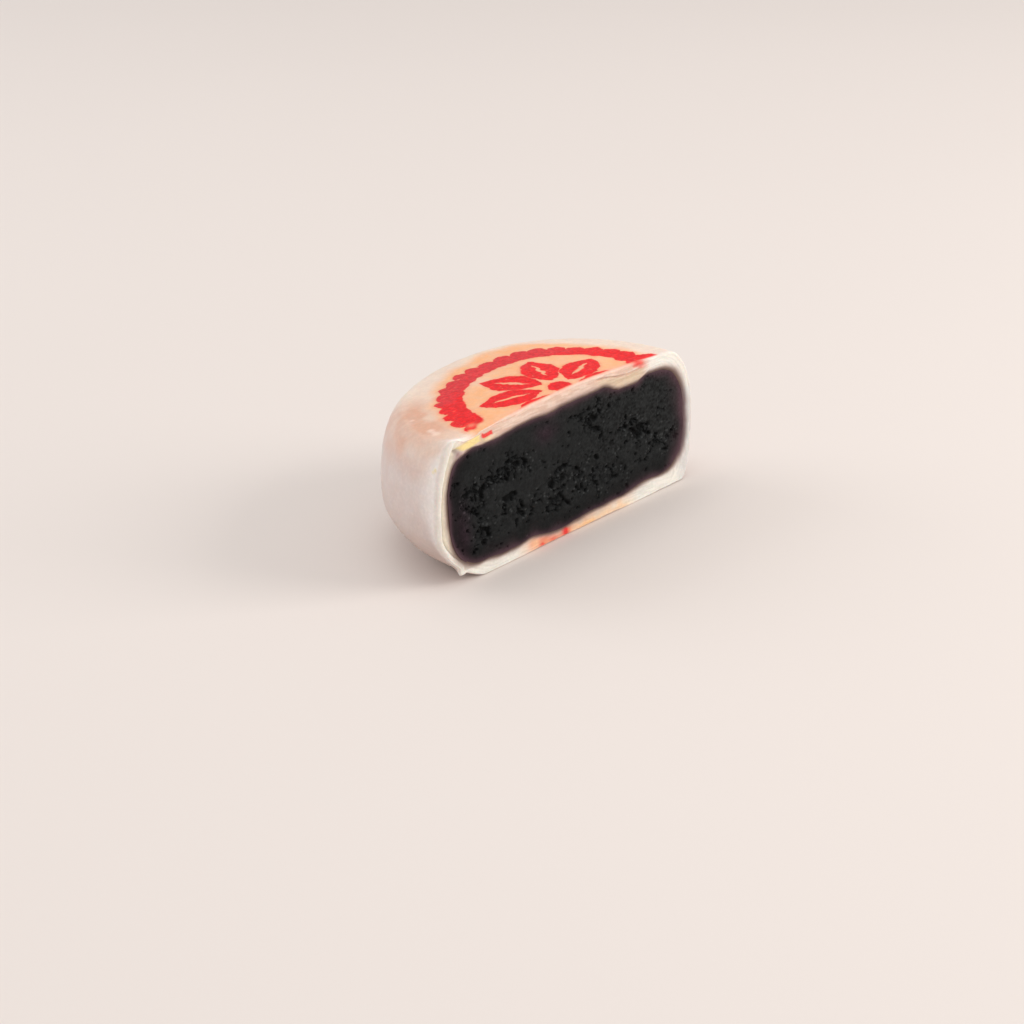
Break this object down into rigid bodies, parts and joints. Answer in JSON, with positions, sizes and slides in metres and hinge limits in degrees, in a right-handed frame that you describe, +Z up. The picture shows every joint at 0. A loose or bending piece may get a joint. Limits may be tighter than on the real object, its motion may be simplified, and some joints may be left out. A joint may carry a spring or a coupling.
{
  "type": "black sesame pia cake, cut in half",
  "caption": "Half of a round baked pastry with a thin pale layered dough shell, a red stamp on its toasted top, and a black sesame paste filling on its flat cut face.",
  "frame": {"origin": "on the axis of the whole cake, at its flat base, a little behind the cut face", "axes": "+Z up, out of the stamped top; the cut face looks along -Y; +X along the cut, towards its right end seen from the front"},
  "size_m": [0.0698, 0.0374, 0.0294],
  "materials": {
    "dough": null,
    "sesame_paste": null
  },
  "bodies": {
    "root": {"crust": "dough", "filling": "sesame_paste"}
  },
  "joints": []
}
